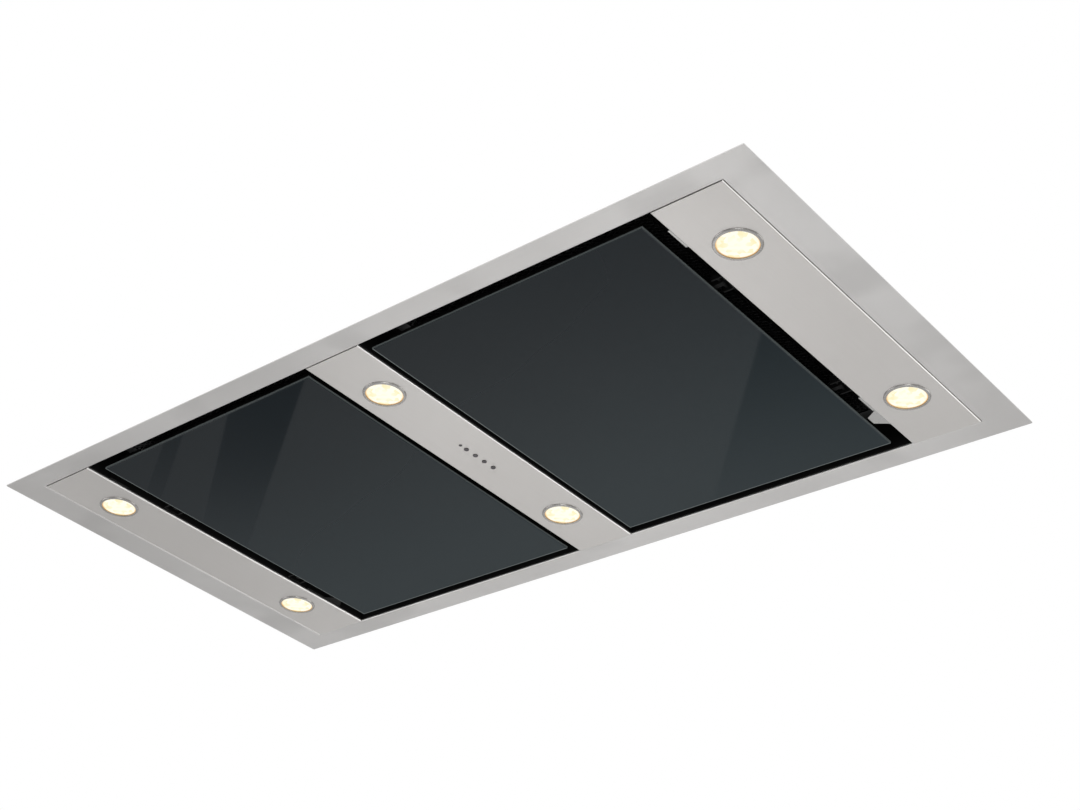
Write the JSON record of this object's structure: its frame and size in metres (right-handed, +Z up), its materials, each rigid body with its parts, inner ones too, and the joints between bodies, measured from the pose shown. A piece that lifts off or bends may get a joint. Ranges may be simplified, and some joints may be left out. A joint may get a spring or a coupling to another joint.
{
  "type": "cassette range hood",
  "caption": "Ceiling cassette range hood: brushed steel face with lamps and push buttons, hinged glass panels over grease filters, and a built-in blower with a top duct spigot.",
  "frame": {"origin": "centre of the face, on the plane of its visible underside", "axes": "+Z up into the ceiling, +X along the long side, +Y across the face; the hood is seen from below, from -Z"},
  "size_m": [1.2, 0.6, 0.3265],
  "materials": {
    "brushed_steel": "brushed stainless steel",
    "galvanised": "galvanised sheet with a faint spangle",
    "black_coat": "matt black powder coat",
    "dark_glass": "back-painted dark grey glass",
    "filter_alloy": "expanded aluminium",
    "zinc_steel": "bright zinc plate",
    "black_plastic": "moulded black plastic",
    "white_plastic": "moulded white plastic",
    "motor_paint": "dark grey stove enamel",
    "lamp_metal": "satin chrome",
    "lamp_glass": "lit warm white lens",
    "lamp_heatsink": "die-cast aluminium",
    "button_metal": "polished steel",
    "indicator": "clear light guide"
  },
  "bodies": {
    "root": {"face_frame": "brushed_steel", "left_strip": "brushed_steel", "centre_strip": "brushed_steel", "right_strip": "brushed_steel", "casing_walls": "galvanised", "casing_top": "galvanised", "top_screws": "zinc_steel", "hanger_brackets": "zinc_steel", "left_liner": "black_coat", "right_liner": "black_coat", "left_filter_frame": "filter_alloy", "right_filter_frame": "filter_alloy", "left_filter_mesh": "filter_alloy", "right_filter_mesh": "filter_alloy", "hinge_brackets": "black_coat", "left_edge_clips": "zinc_steel", "right_edge_clips": "zinc_steel", "catch_magnets": "black_plastic", "blower_scroll": "galvanised", "inlet_rings": "galvanised", "motor": "motor_paint", "motor_bracket": "zinc_steel", "duct_spigot": "black_plastic", "terminal_box": "black_plastic", "terminal_cover": "black_plastic", "cable_gland": "black_plastic", "control_box": "black_plastic", "button_bank": "black_plastic", "indicator_light": "indicator", "lamp_driver": "white_plastic", "lamp_bodies": "lamp_heatsink", "lamp_bezel_1": "lamp_metal", "lamp_bezel_2": "lamp_metal", "lamp_bezel_3": "lamp_metal", "lamp_bezel_4": "lamp_metal", "lamp_bezel_5": "lamp_metal", "lamp_bezel_6": "lamp_metal", "lamp_lens_1": "lamp_glass", "lamp_lens_2": "lamp_glass", "lamp_lens_3": "lamp_glass", "lamp_lens_4": "lamp_glass", "lamp_lens_5": "lamp_glass", "lamp_lens_6": "lamp_glass"},
    "right_panel": {"right_glass": "dark_glass", "right_panel_tray": "black_coat", "right_hinge_pins": "zinc_steel"},
    "left_panel": {"left_glass": "dark_glass", "left_panel_tray": "black_coat", "left_hinge_pins": "zinc_steel"},
    "right_latch": {"right_filter_latch": "black_plastic"},
    "left_latch": {"left_filter_latch": "black_plastic"},
    "button_1": {"button_1": "button_metal"},
    "button_2": {"button_2": "button_metal"},
    "button_3": {"button_3": "button_metal"},
    "button_4": {"button_4": "button_metal"},
    "fan": {"impeller": "galvanised", "motor_shaft": "zinc_steel"},
    "front_flap": {"front_flap": "black_plastic"},
    "rear_flap": {"rear_flap": "black_plastic"}
  },
  "joints": [
    {"name": "right_panel_hinge", "type": "hinge", "parent": "root", "child": "right_panel", "pos_m": [0.452, 0, 0.009], "axis": [0, -1, 0], "range_deg": [0, 90]},
    {"name": "left_panel_hinge", "type": "hinge", "parent": "root", "child": "left_panel", "pos_m": [-0.452, 0, 0.009], "axis": [0, 1, 0], "range_deg": [0, 90]},
    {"name": "right_latch_slide", "type": "slide", "parent": "root", "child": "right_latch", "axis": [0, -1, 0], "range_m": [0, 0.009], "stiffness_N_per_m": 300},
    {"name": "left_latch_slide", "type": "slide", "parent": "root", "child": "left_latch", "axis": [0, -1, 0], "range_m": [0, 0.009], "stiffness_N_per_m": 300},
    {"name": "button_1_press", "type": "slide", "parent": "root", "child": "button_1", "axis": [0, 0, 1], "range_m": [0, 0.0015], "stiffness_N_per_m": 500},
    {"name": "button_2_press", "type": "slide", "parent": "root", "child": "button_2", "axis": [0, 0, 1], "range_m": [0, 0.0015], "stiffness_N_per_m": 500},
    {"name": "button_3_press", "type": "slide", "parent": "root", "child": "button_3", "axis": [0, 0, 1], "range_m": [0, 0.0015], "stiffness_N_per_m": 500},
    {"name": "button_4_press", "type": "slide", "parent": "root", "child": "button_4", "axis": [0, 0, 1], "range_m": [0, 0.0015], "stiffness_N_per_m": 500},
    {"name": "fan_spin", "type": "hinge", "parent": "root", "child": "fan", "pos_m": [0, -0.076, 0.163], "axis": [1, 0, 0], "continuous": true},
    {"name": "front_flap_hinge", "type": "hinge", "parent": "root", "child": "front_flap", "pos_m": [0, -0.0045, 0.26], "axis": [-1, 0, 0], "range_deg": [0, 80]},
    {"name": "rear_flap_hinge", "type": "hinge", "parent": "root", "child": "rear_flap", "pos_m": [0, 0.0045, 0.26], "axis": [1, 0, 0], "range_deg": [0, 80]}
  ]
}
